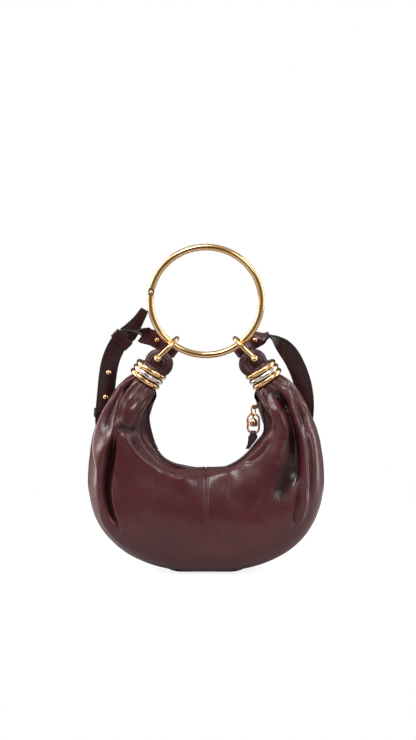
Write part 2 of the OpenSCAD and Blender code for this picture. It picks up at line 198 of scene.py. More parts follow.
# ---------------------------------------------------------------- materials
class Look:
    """A material with a Principled shader and short ways to add nodes to it."""

    def __init__(self, name, **constants):
        self.material = bpy.data.materials.new(name)
        self.material.use_nodes = True
        self.tree = self.material.node_tree
        self.shader = self.tree.nodes["Principled BSDF"]
        for socket, value in constants.items():
            self.shader.inputs[socket.replace("_", " ").title().replace("Ior", "IOR")].default_value = value
        self.place = self.add("ShaderNodeTexCoord").outputs["Object"]

    def add(self, kind, inputs=None, **settings):
        node = self.tree.nodes.new(kind)
        for key, value in settings.items():
            setattr(node, key, value)
        for key, value in (inputs or {}).items():
            if isinstance(value, bpy.types.NodeSocket):
                self.tree.links.new(value, node.inputs[key])
            else:
                node.inputs[key].default_value = value
        return node

    def noise(self, scale, detail=2.0, rough=0.5, stretch=None):
        at = self.place
        if stretch:
            at = self.add("ShaderNodeMapping", {"Vector": at, "Scale": stretch}).outputs[0]
        inputs = {"Vector": at, "Scale": scale, "Detail": detail, "Roughness": rough}
        return self.add("ShaderNodeTexNoise", inputs).outputs["Fac"]

    def cells(self, scale):
        cells = self.add("ShaderNodeTexVoronoi", {"Vector": self.place, "Scale": scale}, feature="SMOOTH_F1")
        return cells.outputs["Distance"]

    def ranged(self, value, low, high, to_low, to_high):
        return self.add("ShaderNodeMapRange", {0: value, 1: low, 2: high, 3: to_low, 4: to_high}).outputs[0]

    def math(self, how, a, b):
        return self.add("ShaderNodeMath", {0: a, 1: b}, operation=how).outputs[0]

    def blend(self, factor, a, b):
        node = self.add("ShaderNodeMix", data_type="RGBA", blend_type="MIX")
        for socket, value in zip((node.inputs[0], node.inputs[6], node.inputs[7]), (factor, a, b)):
            if isinstance(value, bpy.types.NodeSocket):
                self.tree.links.new(value, socket)
            else:
                socket.default_value = value
        return node.outputs[2]

    def send(self, value, socket):
        self.tree.links.new(value, self.shader.inputs[socket])

    def bump(self, height, distance):
        node = self.add("ShaderNodeBump", {"Height": height, "Distance": distance, "Strength": 1.0})
        self.send(node.outputs[0], "Normal")


def linear(r, g, b):
    """A screen colour of 0 to 255 as the linear colour that shaders use."""
    channels = [((c / 255 + 0.055) / 1.055) ** 2.4 if c > 10 else c / 255 / 12.92 for c in (r, g, b)]
    return (*channels, 1.0)


def leather(name, deep, mid, light, grain, depth, rough, folds=False, coat=0.22):
    """Grained leather. With folds, the mesh's fold attribute paints shade into valleys (deep) and a painted
    highlight onto crests (light).
    """
    look = Look(name, specular_ior_level=0.36, coat_weight=coat, coat_roughness=0.16)
    patches = look.ranged(look.noise(14, 3), 0.32, 0.68, 0.0, 1.0)
    fine = look.ranged(look.noise(grain * 0.45, 2), 0.3, 0.7, 0.0, 0.35)
    colour = look.blend(look.math("ADD", look.math("MULTIPLY", patches, 0.65), fine), mid, light)
    shine = look.ranged(look.noise(45, 3), 0.3, 0.7, rough - 0.05, rough + 0.06)
    if folds:
        # Painted shade: low fold values darken valleys towards deep, and high values paint a highlight on
        # crests.
        held = look.add("ShaderNodeAttribute", attribute_name="fold").outputs["Fac"]
        colour = look.blend(look.ranged(held, 0.46, 0.0, 0.0, 0.8), colour, deep)
        colour = look.blend(look.ranged(held, 0.56, 0.95, 0.0, 0.35), colour, light)
        shine = look.math("SUBTRACT", shine, look.ranged(held, 0.52, 0.85, 0.0, 0.08))
    look.send(colour, "Base Color")
    look.send(shine, "Roughness")
    pebbles = look.math("MULTIPLY", look.cells(grain), 0.8)
    height = look.math("ADD", pebbles, look.math("MULTIPLY", look.noise(grain * 1.7, 3), 0.5))
    height = look.math("ADD", height, look.math("MULTIPLY", look.noise(150, 3, 0.6), 1.6))
    look.bump(height, depth)
    return look.material


def metal(name, colour, tint, rough):
    """Polished plate with a faint brushed roughness."""
    look = Look(name, metallic=1.0, specular_ior_level=0.6)
    look.send(look.blend(look.ranged(look.noise(60, 2), 0.35, 0.65, 0.0, 1.0), colour, tint), "Base Color")
    brushed = look.noise(900, 2, 0.6, stretch=(1, 1, 0.12))
    look.send(look.ranged(brushed, 0.3, 0.7, rough - 0.01, rough + 0.02), "Roughness")
    look.bump(look.math("ADD", look.noise(90, 2), look.math("MULTIPLY", brushed, 0.1)), 0.00001)
    return look.material


def cloth(name, dark, light, pitch):
    """Woven cloth with its threads pitch metres apart."""
    look = Look(name, specular_ior_level=0.2, sheen_weight=0.25, sheen_roughness=0.5)
    threads = {"Vector": look.place, "Scale": 1 / pitch, "Distortion": 0.6}
    warp = look.add("ShaderNodeTexWave", threads, bands_direction="X")
    weft = look.add("ShaderNodeTexWave", threads, bands_direction="Z")
    weave = look.math("MULTIPLY", warp.outputs["Fac"], weft.outputs["Fac"])
    tone = look.math("ADD", look.math("MULTIPLY", weave, 0.5), look.math("MULTIPLY", look.noise(40), 0.4))
    look.send(look.blend(tone, dark, light), "Base Color")
    look.send(look.ranged(look.noise(300), 0.3, 0.7, 0.75, 0.92), "Roughness")
    look.bump(weave, 0.00015)
    return look.material


BAG_LEATHER = leather("bag_leather_look", linear(16, 3, 5), linear(70, 27, 30), linear(84, 38, 40),
                      950, 0.00012, 0.31, folds=True)
LOOP_LEATHER = leather("loop_leather_look", linear(22, 5, 7), linear(60, 24, 27), linear(76, 35, 37),
                       950, 0.0001, 0.34, folds=True)
STRAP_LEATHER = leather("strap_leather_look", linear(20, 5, 7), linear(44, 16, 18), linear(56, 23, 26),
                        1500, 0.00006, 0.36, coat=0.08)
TAB_LEATHER = leather("tab_leather_look", linear(20, 5, 7), linear(64, 27, 29), linear(84, 42, 44),
                      1500, 0.00006, 0.28)
STRAP_EDGE = leather("strap_edge_look", linear(12, 6, 7), linear(20, 10, 12), linear(28, 15, 17),
                     900, 0.00008, 0.42, coat=0.2)
THREAD = cloth("thread_look", linear(66, 30, 32), linear(104, 64, 62), 0.0006)
LINING = cloth("lining_look", linear(40, 24, 24), linear(62, 40, 38), 0.0009)
TAPE = cloth("zip_tape_look", linear(36, 16, 18), linear(60, 32, 34), 0.0012)
COIL = cloth("zip_coil_look", linear(40, 20, 22), linear(74, 44, 44), 0.0008)
GOLD = metal("gold_look", linear(230, 184, 126), linear(236, 194, 142), 0.17)
ROSE_GOLD = metal("pull_gold_look", linear(224, 176, 144), linear(232, 190, 160), 0.17)
SILVER = metal("silver_look", linear(222, 212, 206), linear(232, 224, 220), 0.19)


# ---------------------------------------------------------------- bag body
NECK_ANGLE = 117.6  # how far round the zip's centre each collar lies from the bottom
KEEL_ANGLE = 139.0  # the same for the outline, about the widest place
BODY_RADIUS = COLLAR_INSIDE - 0.2
NECK_MID = COLLAR - COLLAR_HALF * COLLAR_UP
# Each panel's upper edge, as angles about the zip's centre and distances from it
RIMS = {
    "front_left": [(-90, 53), (-76, 54.6), (-66, 58), (-60, 61), (-54, 63.5), (-46, 64), (-38, 64.5),
                   (-28, 66), (-19, 67), (-8, 65.6), (8, 60), (16, 56.5), (22, 54.6), (27.6, 56.5)],
    "front_right": [(-90, 53), (-76, 54.4), (-63, 58.4), (-52, 57.4), (-39, 57.2), (-26, 59.2), (-17, 62.6),
                    (-8, 66), (0, 62), (6, 58.5), (15, 56), (22, 54), (27.6, 56.5)],
    "back_left": [(-90, 54), (-66, 59), (-54, 62.4), (-46, 63), (-39, 62.6), (-33, 61), (-19, 57.6), (-8, 58),
                  (1.4, 54), (17, 52.3), (24, 53), (27.6, 57)],
    "back_right": [(-90, 54), (-66, 59.5), (-52, 59.5), (-39, 59.5), (-26, 60.5), (-16, 61.5), (-4, 55.5),
                   (8, 51.8), (23, 51.2), (27.6, 57)],
}


def rim_line(t, panel):
    """The panels' upper edge, from the middle of the bag to a collar."""
    a = -90 + NECK_ANGLE * t
    angles, radii = zip(*RIMS[panel])
    r = np.mean([np.interp(np.maximum(a + d, -180 - a - d), angles, radii) for d in (-5, -3, -1, 1, 3, 5)],
                axis=0)
    free = np.stack([r * np.cos(np.radians(a)), ZIP_MID + r * np.sin(np.radians(a))], -1)
    held = NECK_MID + BODY_RADIUS * COLLAR_IN
    return lerp(free, held, smooth((t - 0.94) / 0.06)[..., None])


def keel_line(t):
    """The bag's outline from the front, from its lowest point to a collar."""
    a = np.radians(-90 + KEEL_ANGLE * t)
    low = np.stack([HALF_WIDTH * np.abs(np.cos(a)) ** ROUNDNESS,
                    BELLY * (1 - np.abs(np.sin(a)) ** ROUNDNESS)], -1)
    high = np.stack([HALF_WIDTH * np.cos(a), BELLY + SHOULDER * np.sin(a)], -1)
    free = np.where((a < 0)[..., None], low, high)
    held = NECK_MID - BODY_RADIUS * COLLAR_IN
    return lerp(free, held, smooth((t - 0.95) / 0.05)[..., None])


def half_depth(t):
    """Half the bag's depth, from the middle to a collar."""
    return lerp(BODY_RADIUS, HALF_DEPTH, np.maximum(0, 1 - t**3.2) ** 0.8)


def flat_base(z):
    """Heights eased onto the top of the base patch."""
    room = BASE_BLEND - BASE_TOP
    eased = BASE_TOP + room * (np.maximum(z, 0) / BASE_BLEND) ** (BASE_BLEND / room)
    return np.where(z < BASE_BLEND, eased, z)


def half_section(t, q, face):
    """Points for t from -1 (left collar) to 1 (right collar) and q from the rim to the keel, in degrees."""
    side, t_abs = np.sign(t), np.abs(t)
    k = smooth((t_abs - 0.86) / 0.14)[:, None]
    e = lerp(0.8, 1.0, k)
    edge = np.where(side[:, None] < 0, rim_line(t_abs, face + "_left"), rim_line(t_abs, face + "_right"))
    p, o = edge[:, None, :], keel_line(t_abs)[:, None, :]
    run = np.linalg.norm(o - p, axis=-1)
    heading = (o - p) / run[..., None]
    rim = lerp(GROOVE, 0.3, smooth((t_abs - 0.84) / 0.09))[:, None]
    cq, sq = np.cos(np.radians(q))[None, :], np.sin(np.radians(q))[None, :]
    along = run * (1 - spow(cq, e)) / 2
    bulge = np.maximum(0, sq) ** e * (1 - 0.2 * (1 - k) * cq)
    wall = rim * (0.5 + 0.5 * cq) + (half_depth(t_abs)[:, None] - rim / 2) * bulge
    xz = p + heading * along[..., None]
    return np.stack([side[:, None] * xz[..., 0], -wall, flat_base(xz[..., 1])], -1)


def front_view(p):
    """Where points appear from the front: across and up, in millimetres at the bag's middle."""
    rise = p[..., 2] - VIEW_MID
    near = VIEW_AWAY / (VIEW_AWAY + p[..., 1] * math.cos(VIEW_RISE) - rise * math.sin(VIEW_RISE))
    up = p[..., 1] * math.sin(VIEW_RISE) + rise * math.cos(VIEW_RISE)
    return p[..., 0] * near, VIEW_MID + up * near


# Each fold: height (negative for a valley), its widths on both sides of its run, how much wider its end is
# than its start, how round its crest is, and its run as (across, up) points in millimetres, from the front
FOLDS = [
    (3.2, 1.7, 2.5, 2.4, 1.2, [(-64, 203), (-78, 194), (-87, 183.5), (-95, 172), (-101, 161), (-105.5, 150),
      (-109, 138), (-110, 126), (-108, 112), (-105, 98)]),
    (-4.6, 3.0, 3.4, 1.2, 1.8, [(-68, 198), (-78, 189.5), (-87, 179), (-93, 168), (-98, 156), (-99, 146),
      (-98, 134)]),
    (3.8, 1.7, 2.0, 1.4, 1.2, [(-66, 201), (-78, 193), (-84.5, 183), (-88, 170), (-90.5, 157), (-92, 146),
      (-95, 135), (-99, 126), (-102, 117)]),
    (5.0, 3.0, 6.5, 1.0, 1.6, [(-91, 152), (-93, 141), (-97, 130), (-101, 121), (-103.5, 112),
      (-104.5, 101), (-104.5, 90), (-103, 78), (-100, 66), (-95, 55), (-89, 46), (-80, 35)]),
    (-2.8, 1.8, 1.8, 1.2, 1.8, [(-68, 197), (-76, 190.5), (-81.5, 181), (-85, 169), (-87.5, 157),
      (-89, 146)]),
    (3.2, 1.7, 1.8, 1.4, 1.2, [(-64, 195), (-72, 191), (-77, 183), (-82, 173), (-85.5, 162), (-87.5, 150),
      (-88.5, 138)]),
    (-8.0, 2.8, 4.8, 1.0, 1.7, [(-91, 148), (-92.5, 137), (-93, 126), (-94, 115), (-96, 104), (-98, 93),
      (-98.5, 82), (-97, 70), (-93.5, 58), (-88, 48), (-82, 40)]),
    (2.6, 5, 2.2, 1.0, 1.4, [(-90, 100), (-92.5, 88), (-92, 76), (-90, 64), (-86.5, 53), (-82.5, 44),
      (-77, 34)]),
    (-3.8, 5, 3.2, 1.0, 1.5, [(-86, 149), (-80, 145), (-73, 142.5), (-67, 141)]),
    (5.0, 3.6, 6, 1.5, 1.5, [(-85, 149), (-81.5, 138), (-76.5, 129.5), (-71, 121.5), (-65, 115.5),
      (-58, 110), (-50, 106), (-43, 102.5), (-36, 98), (-29, 95), (-20, 94.5), (-10, 96), (0, 96)]),
    (-3.4, 3.2, 3, 1.0, 1.8, [(-74, 141), (-69, 129), (-62, 121), (-54, 114), (-46, 108.5), (-38, 103.5),
      (-26, 100)]),
    (1.4, 2, 2, 1.3, 1.2, [(-57, 192), (-61, 181), (-69, 169), (-77, 158)]),
    (-1.2, 1.2, 1.2, 1.0, 1.5, [(-57, 188), (-61, 172), (-67, 160), (-69, 147), (-66, 136)]),
    (0.9, 1.5, 1.5, 1.0, 1.3, [(-106, 72), (-103, 58), (-98, 47), (-90, 36), (-79, 27)]),
    (5.4, 1.7, 2.6, 1.7, 1.3, [(62, 198), (71, 200), (77, 196), (80, 187), (82.5, 177), (85.5, 166),
      (89, 156), (92.5, 146), (95.5, 137), (97.3, 127), (98.3, 114), (98.7, 100), (98.6, 86), (97.6, 72),
      (95.5, 60), (91, 50), (83, 40)]),
    (-6.4, 2.6, 4.8, 1.3, 1.6, [(70, 188), (76, 177), (81, 166), (85, 156), (87.5, 147), (89.5, 137),
      (91, 126), (91.6, 114), (91.2, 102), (89.5, 90), (87, 78)]),
    (-4.4, 9, 10, 1.0, 1.8, [(86, 150), (86, 134), (84, 118), (81, 103), (77.5, 88), (73, 66)]),
    (-4.0, 4, 5, 1.0, 1.8, [(60, 186), (69, 179), (76, 173), (83, 163)]),
    (3.0, 2.6, 3.5, 1.0, 1.4, [(94, 100), (91, 88), (88, 77), (86, 66), (84.7, 56), (83, 47), (79, 36)]),
    (-1.8, 2.4, 2.4, 1.0, 1.6, [(95.5, 94), (93.5, 80), (91.5, 68), (88.5, 57), (84, 47)]),
    (3.0, 1.7, 2.2, 1.3, 1.2, [(72, 204), (84, 194.5), (91, 186.5), (95, 178), (98, 167), (101, 154)]),
    (2.6, 2, 2.4, 1.5, 1.3, [(80, 201), (92, 189), (100, 177), (106, 165), (110, 148)]),
    (-3.2, 2.4, 2.4, 1.4, 1.7, [(76, 200), (84, 189), (88.5, 178), (92.5, 166), (97, 154), (101, 140)]),
    (1.4, 5, 5, 1.2, 2.0, [(104, 154), (106.5, 132), (107, 110), (106, 92), (104, 76), (98, 58)]),
    (-1.3, 3, 3, 1.0, 1.8, [(98, 142), (102, 124), (102.7, 106), (102.5, 90), (100, 72)]),
    (2.4, 8, 8, 1.2, 2.0, [(64, 174), (73, 162), (76, 148), (75, 134), (71, 119), (66, 104)]),
    (2.6, 6, 3, 1.0, 1.6, [(70, 146), (61, 134), (53, 124), (45, 116.5), (37, 110), (27, 104.5), (17, 99.5),
      (4, 97), (-4, 96)]),
    (-1.6, 2, 2, 1.0, 1.6, [(66, 135), (57, 122), (48, 114.5), (38, 109)]),
    (1.8, 2.5, 2.5, 1.0, 1.4, [(57, 186), (63, 173), (67, 161), (70, 152), (66, 143)]),
    (-2.0, 2.2, 2.2, 1.0, 1.6, [(59, 181), (61, 165), (64, 153), (58, 140)]),
    (1.3, 1.4, 1.4, 1.0, 1.2, [(55, 192), (58, 177), (61, 162)]),
    (1.2, 16, 16, 1.0, 2.0, [(-58, 82), (-36, 66), (-12, 60)]),
    (-1.2, 14, 14, 1.0, 2.0, [(-64, 40), (-40, 28), (-12, 24)]),
    (-1.3, 14, 14, 1.0, 2.0, [(18, 84), (36, 80), (56, 70)]),
    (1.0, 14, 14, 1.0, 2.0, [(12, 58), (36, 52), (58, 50)]),
    (-1.0, 12, 12, 1.0, 2.0, [(4, 36), (24, 36), (46, 26)]),
]


def fold_height(across, up, mirror=1.0):
    """The folds' height at places seen from the front. mirror of -1 swaps left and right."""
    height = np.zeros_like(across)
    for rise, left, right, grow, crest, run in FOLDS:
        path = even(spline(run, 10), 1.0)
        path[:, 0] *= mirror
        if mirror < 0:
            left, right = right, left
        heading = unit(np.gradient(path, axis=0))
        reach = 3.2 * max(left, right) * max(grow, 1)
        low, high = path.min(0) - reach, path.max(0) + reach
        near = (across > low[0]) & (across < high[0]) & (up > low[1]) & (up < high[1])
        if not near.any():
            continue
        a, u = across[near][:, None] - path[None, :, 0], up[near][:, None] - path[None, :, 1]
        k = np.argmin(a * a + u * u, axis=1)
        row = np.arange(len(k))
        a, u = a[row, k], u[row, k]
        off = heading[k, 0] * u - heading[k, 1] * a
        beyond = np.abs(heading[k, 0] * a + heading[k, 1] * u)
        s = k / (len(path) - 1)
        fade = smooth(s / 0.2) * smooth((1 - s) / 0.22)
        width = np.where(off > 0, left, right) * lerp(1.0, grow, s)
        shape = np.exp(-((np.abs(off) / width) ** crest)) * np.exp(-((np.maximum(0, beyond - 1) / 3) ** 2))
        height[near] += rise * fade * shape
    return height


def relax(p, times, keep=0.0):
    """Evens out a grid of points or values inside its border, except where keep is 1."""
    for _ in range(times):
        q = p.copy()
        q[1:-1, 1:-1] = (p[:-2, 1:-1] + p[2:, 1:-1] + p[1:-1, :-2] + p[1:-1, 2:]) / 4
        p = lerp(q, p, keep)
    return p


T_STEPS, Q_STEPS = 680, 150
t_rows = np.linspace(-1, 1, T_STEPS + 1)
q_cols = np.linspace(0, 180, Q_STEPS + 1)
front = half_section(t_rows, q_cols, "front")
back = half_section(t_rows, q_cols, "back") * [1, -1, 1]
shell = np.concatenate([front, back[:, -2::-1]], axis=1)
columns = shell.shape[1]
normal = unit(np.cross(np.gradient(shell, axis=1), np.gradient(shell, axis=0)))
if np.mean(normal[:, Q_STEPS // 2, 1]) > 0:
    normal = -normal

turn = np.arange(columns) / (columns - 1)
from_keel = np.abs(turn - 0.5) * 2
across, up = front_view(shell)
is_front = turn < 0.5
height = np.zeros(shell.shape[:2])
height[:, is_front] = fold_height(across[:, is_front], up[:, is_front])
flipped = shell * [1, -1, 1]
across_back, up_back = front_view(flipped)
height[:, ~is_front] = 0.75 * fold_height(across_back[:, ~is_front], up_back[:, ~is_front], mirror=-1.0)
height *= smooth((from_keel - 0.02) / 0.16)[None, :] * smooth((1.0 - from_keel) / 0.05)[None, :]
height *= smooth((1 - np.abs(t_rows)) / 0.05)[:, None]

# Gathers that run out of the collars, and the leather's own slight unevenness
t_abs = np.abs(t_rows)[:, None]
ring = 2 * math.pi * turn[None, :]
lean = 0.6 * np.sin(9 * t_rows)[:, None]
gathers = (np.cos(13 * ring + lean + 0.8 * np.sin(2 * ring)) * 0.9 + np.cos(21 * ring - 1.1 + lean) * 0.5)
height += gathers * smooth((t_abs - 0.86) / 0.12) * lerp(1.0, 0.55, smooth((t_abs - 0.94) / 0.06))
drapes = np.cos(7 * ring + 1.4 * np.sin(ring) + 2.1 * np.sign(t_rows)[:, None])
height += np.where(is_front, 0.25, 0.7) * drapes * smooth((t_abs - 0.5) / 0.25) * smooth((1.0 - t_abs) / 0.12)
x, z = shell[..., 0], shell[..., 2]
height += 0.35 * np.sin(x / 13 + 1.3 * np.sin(z / 17)) * np.sin(z / 15 + 0.8) * smooth((z - 12) / 20)
height += 0.12 * np.sin(x / 4.7 + 2 * np.sin(z / 9)) * np.sin(z / 5.3 + 1.1) * smooth((z - 12) / 20)

# The centre seam, with the leather drawn down along both rows of stitches
STITCH_OFF = 2.6
height += -0.9 * np.exp(-((x / 0.8) ** 2)) * (t_abs < 0.3)
height += -0.25 * np.exp(-(((np.abs(x) - STITCH_OFF) / 0.7) ** 2)) * (t_abs < 0.3)
height += 0.3 * np.exp(-(((np.abs(x) - 1.3) / 0.8) ** 2)) * (t_abs < 0.3)

shell = shell + normal * height[..., None]
shell[..., 2] = np.maximum(shell[..., 2], BASE_TOP)
hold = np.ones(shell.shape[:2])
hold[3:-3, 3:-3] = 0.7
hold[np.abs(x) < 4] = 0.9
shell = relax(shell, 2, hold[..., None])


# The edges turn in and run down to the zip tape
def zip_reach(angle):
    """How far the zip lies from its centre at an angle from +X. It gives way where the panels sag."""
    left, right = np.asarray(angle) + 136, np.asarray(angle) + 17
    return ZIP_RADIUS + 4.2 * np.exp(-((left / 17) ** 2)) + 3.4 * np.exp(-((right / 10) ** 2))


def on_zip(angle, y, out=0.0):
    """Points along the zip. angle is in degrees from +X, out is how much further out than the zip."""
    r = zip_reach(angle) + out
    return np.stack([r * np.cos(np.radians(angle)), y + 0 * r, ZIP_MID + r * np.sin(np.radians(angle))], -1)


tape_at = on_zip(-90 + NECK_ANGLE * t_rows, 0.0)
closing = smooth((np.abs(t_rows) - 0.86) / 0.06)[:, None]


def lip(edge, inner, sign):
    """Strips of points from the panel's edge to the zip tape, nearest the tape first."""
    tape = tape_at + [0, sign * 4.2, 0]
    down = unit(inner - edge)
    inside = edge + down * 4 - [0, sign * 0.4, 0]
    foot = lerp(tape, inside, closing)
    strips = []
    for k in (1.0, 0.82, 0.6, 0.38, 0.2, 0.09, 0.03):
        sag = math.sin(math.pi * k) * 0.8
        strips.append(lerp(edge, foot, k) - np.array([0, sign * sag, 0]))
    return np.stack(strips, 1)


def add_painted_shade(made, values):
    """Stores each point's painted shade for the leather's colour: low in hollows, high on crests, 0.5 level.
    """
    made.data.attributes.new("fold", "FLOAT", "POINT").data.foreach_set(
        "value", np.asarray(values, np.float32).reshape(-1))


LIP_SHADE = 0.25
LINING_GAP = 1.8
LINING_ENDS = 24  # rows left out under each collar
front_lip = lip(shell[:, 0], shell[:, 6], -1)
back_lip = lip(shell[:, -1], shell[:, -7], 1)[:, ::-1]
whole = np.concatenate([front_lip, shell, back_lip], axis=1)
body_faces = grid_faces(whole.shape[0], whole.shape[1])
lining = (shell - normal * LINING_GAP)[LINING_ENDS:-LINING_ENDS:2, ::2]
points, faces = lining.reshape(-1, 3), grid_faces(*lining.shape[:2])
points[:, 2] = np.maximum(points[:, 2], BASE_TOP + LINING_GAP)
piece("lining_cloth_shell", points, faces, LINING, "bag", ("lining",), flip=True)
body = piece("bag_body", whole.reshape(-1, 3), body_faces, BAG_LEATHER, "bag",
             ("front_panel_left", "front_panel_right", "back_panel_left", "back_panel_right"))
if body.data.polygons[len(body.data.polygons) // 2].normal.dot(Vector((0, 0, -1))) < 0:
    body.data.flip_normals()
# Painted shade and highlight for the leather's colour, by how hollow or proud each place is; 0.5 is level
around = relax(height, 70)
shade = np.clip(0.5 + relax((height - around) / 5.5 + np.minimum(around, 0) / 9, 3), 0, 1)
lip_shade = np.full(front_lip.shape[:2], LIP_SHADE)
shade = np.concatenate([lip_shade, shade, lip_shade], axis=1)
add_painted_shade(body, shade)


# ---------------------------------------------------------------- stitches
def stitches(path, lift, pitch=3.0, length=2.1, thick=0.3):
    """Short rounded stitches along a path of points, each held off it by lift."""
    run = np.concatenate([[0], np.cumsum(np.linalg.norm(np.diff(path, axis=0), axis=1))])
    parts = []
    for at in np.arange(pitch, run[-1] - pitch, pitch):
        ends = [np.array([np.interp(at + d, run, path[:, k]) for k in range(3)])
                for d in (-length / 2, length / 2)]
        off = np.array([np.interp(at, run, lift[:, k]) for k in range(3)])
        along = unit(ends[1] - ends[0])
        across_way = unit(np.cross(along, off))
        rise = np.cross(across_way, along)
        rings = []
        for k, (size, sink) in enumerate(((0.35, -0.25), (0.8, 0), (1, 0.12), (0.8, 0), (0.35, -0.25))):
            mid = lerp(ends[0], ends[1], k / 4) + off * 0.12 + rise * sink
            rings.append([mid + thick * size * (across_way * math.cos(a) + rise * math.sin(a))
                          for a in np.linspace(0, 2 * math.pi, 7)[:-1]])
        parts.append(solid_tube(np.array(rings)))
    return parts


def seam_rows(side):
    """The lines where the stitches of the centre seam lie, on the front and the back."""
    mid = T_STEPS // 2
    rows = slice(mid - 25, mid + 26)
    reach = 101  # how many columns below the rim the stitches run
    out = []
    for cols in (range(2, reach), range(columns - reach, columns - 2)):
        at = side * STITCH_OFF
        path = np.array([[at] + [np.interp(at, shell[rows, c, 0], shell[rows, c, k]) for k in (1, 2)]
                         for c in cols])
        out.append((path, np.array([normal[mid, c] for c in cols])))
    return out


seam_parts = []
for side in (-1, 1):
    for path, lift in seam_rows(side):
        seam_parts += stitches(path, lift)
points, faces = together(seam_parts)
piece("seam_stitches", points, outward(points, faces), THREAD, "bag")


# ---------------------------------------------------------------- gathered necks and folded loops
def neck():
    """The gathered leather inside the collar and its rounded end above it."""
    stations = [(-COLLAR_HALF - 2, 10.9), (-COLLAR_HALF, 11.4), (-4, 11.5), (0, 11.5), (4, 11.5), (8, 11.3),
                (10, 10.2), (11.4, 7.6), (12, 4)]
    levels = even(np.array([[h, r, 0] for h, r in stations], float), 0.8)
    angles = np.linspace(0, 2 * math.pi, 97)[:-1]
    rings = []
    for h, r, _ in levels:
        pleat = 0.35 * np.cos(14 * angles + 0.05 * h) + 0.2 * np.cos(23 * angles - 1)
        size = r + pleat
        middle = np.array([COLLAR[0], 0, COLLAR[1]]) + h * np.array([COLLAR_UP[0], 0, COLLAR_UP[1]])
        aside = np.array([-COLLAR_IN[0], 0, -COLLAR_IN[1]])
        spokes = np.cos(angles)[:, None] * aside + np.sin(angles)[:, None] * BACK
        rings.append(middle + size[:, None] * spokes)
    return solid_tube(np.array(rings))


def loop_path():
    """The middle line of the folded leather: up out of the collar, round the pin and down again."""
    to_collar = math.atan2(COLLAR[1] - LOOP_MID[1], COLLAR[0] - LOOP_MID[0])
    middle = 7.3
    turn_round = [LOOP_MID + middle * np.array([math.cos(a), math.sin(a)])
                  for a in np.radians(np.linspace(-146, 146, 15)) + to_collar + math.pi]
    foot = COLLAR - 3 * COLLAR_UP
    waist = COLLAR + 3.5 * COLLAR_UP
    aside = -COLLAR_IN
    path = [foot + 5.3 * aside, waist + 5.4 * aside] + turn_round + [waist - 5.4 * aside, foot - 5.3 * aside]
    return even(spline([[p[0], 0, p[1]] for p in path], 12), 0.7)


def loop():
    """The folded loop's rings of points, and each point's painted shade, darker in the creases."""
    path = loop_path()
    run = np.linspace(0, 1, len(path))
    heading = unit(np.gradient(path, axis=0))
    angles = np.linspace(0, 2 * math.pi, 73)[:-1]
    rings, shades = [], []
    creases = ((38, 0.13, 8), (66, 0.16, 7), (96, 0.12, 7), (128, 0.1, 9))  # where, how deep, how wide
    r_in, r_y = 7.0, 7.8
    for at, way, middle in zip(run, heading, path):
        out = unit(np.cross(way, [0, 1, 0]))
        if np.dot(out, middle - [LOOP_MID[0], 0, LOOP_MID[1]]) < 0 and 0.15 < at < 0.85:
            out = -out
        dent = np.zeros_like(angles)
        for k, (where, deep, wide) in enumerate(creases):
            drift = 7 * math.sin(math.pi * at * 1.3 + k * 1.7)
            for mirror in (1, -1):
                gap = np.abs((np.degrees(angles) - mirror * (where + drift) + 180) % 360 - 180)
                dent += deep * np.exp(-((gap / wide) ** 2))
        swell = 1 + 0.03 * math.sin(at * 21) + 0.02 * np.cos(3 * angles + 9 * at)
        cx, cy = spow(np.cos(angles), 0.86), spow(np.sin(angles), 0.86)
        size = (1 - dent) * swell
        rings.append(middle + (r_in * cx * size)[:, None] * out - (r_y * cy * size)[:, None] * BACK)
        # Painted shade: the creases are painted darker.
        shades.append(np.clip(0.58 - dent * 3.2, 0, 1))
    return np.array(rings), np.array(shades)


def bag_end(side):
    """The neck and the loop of one horn."""
    word = "right" if side > 0 else "left"
    points, faces = neck()
    faces = outward(points, faces)
    rings, shades = loop()
    loop_points, loop_faces = solid_tube(rings)
    loop_faces = outward(loop_points, loop_faces)
    if side < 0:
        points, faces = mirrored(points, faces)
        loop_points, loop_faces = mirrored(loop_points, loop_faces)
    made = piece("neck_" + word, points, faces, LOOP_LEATHER, "bag", ("neck_core_" + word,))
    # The neck is painted a little darker all over: painted shade inside the collar rings.
    add_painted_shade(made, np.full(len(points), 0.35))
    made = piece("folded_loop_" + word, loop_points, loop_faces, LOOP_LEATHER, "bag",
                 ("loop_" + word,))
    add_painted_shade(made, shades)


for side in (-1, 1):
    bag_end(side)


# ---------------------------------------------------------------- base patch
def base_lift(x):
    """How much the patch rises towards its ends, with the body."""
    cos_a = np.clip(np.abs(x) / HALF_WIDTH, 0, 1) ** (1 / ROUNDNESS)
    outline = flat_base(BELLY * (1 - (1 - cos_a**2) ** (ROUNDNESS / 2)))
    return 0.9 * (outline - BASE_TOP) + 0.9 * (np.abs(x) / 38) ** 3


def base_patch():
    """The patch as a closed mesh, and its rings from the underside to the top."""
    low, high = node_box("base_patch")
    length, width = high[0] - low[0], high[1] - low[1]
    straight = (length - width) / 2
    outline = [(math.copysign(straight, math.cos(a)) + width / 2 * math.cos(a), width / 2 * math.sin(a))
               for a in np.linspace(0, 2 * math.pi, 129)[:-1] + 0.01]
    profile = ((9, 0.2), (7.5, 0.05), (6.5, 0.0), (4.5, 0.1), (2.2, 0.6), (0.6, 1.3), (0.0, 2.0), (1.4, 3.0))
    rings = []
    for inset, level in profile:
        shrink = 1 - inset / (width / 2)
        ring = []
        for px, py in outline:
            centre = math.copysign(straight, px)
            ring.append((centre + (px - centre) * shrink if abs(px) > straight else px, py * shrink, level))
        rings.append(ring)
    return solid_tube(np.array(rings)), rings


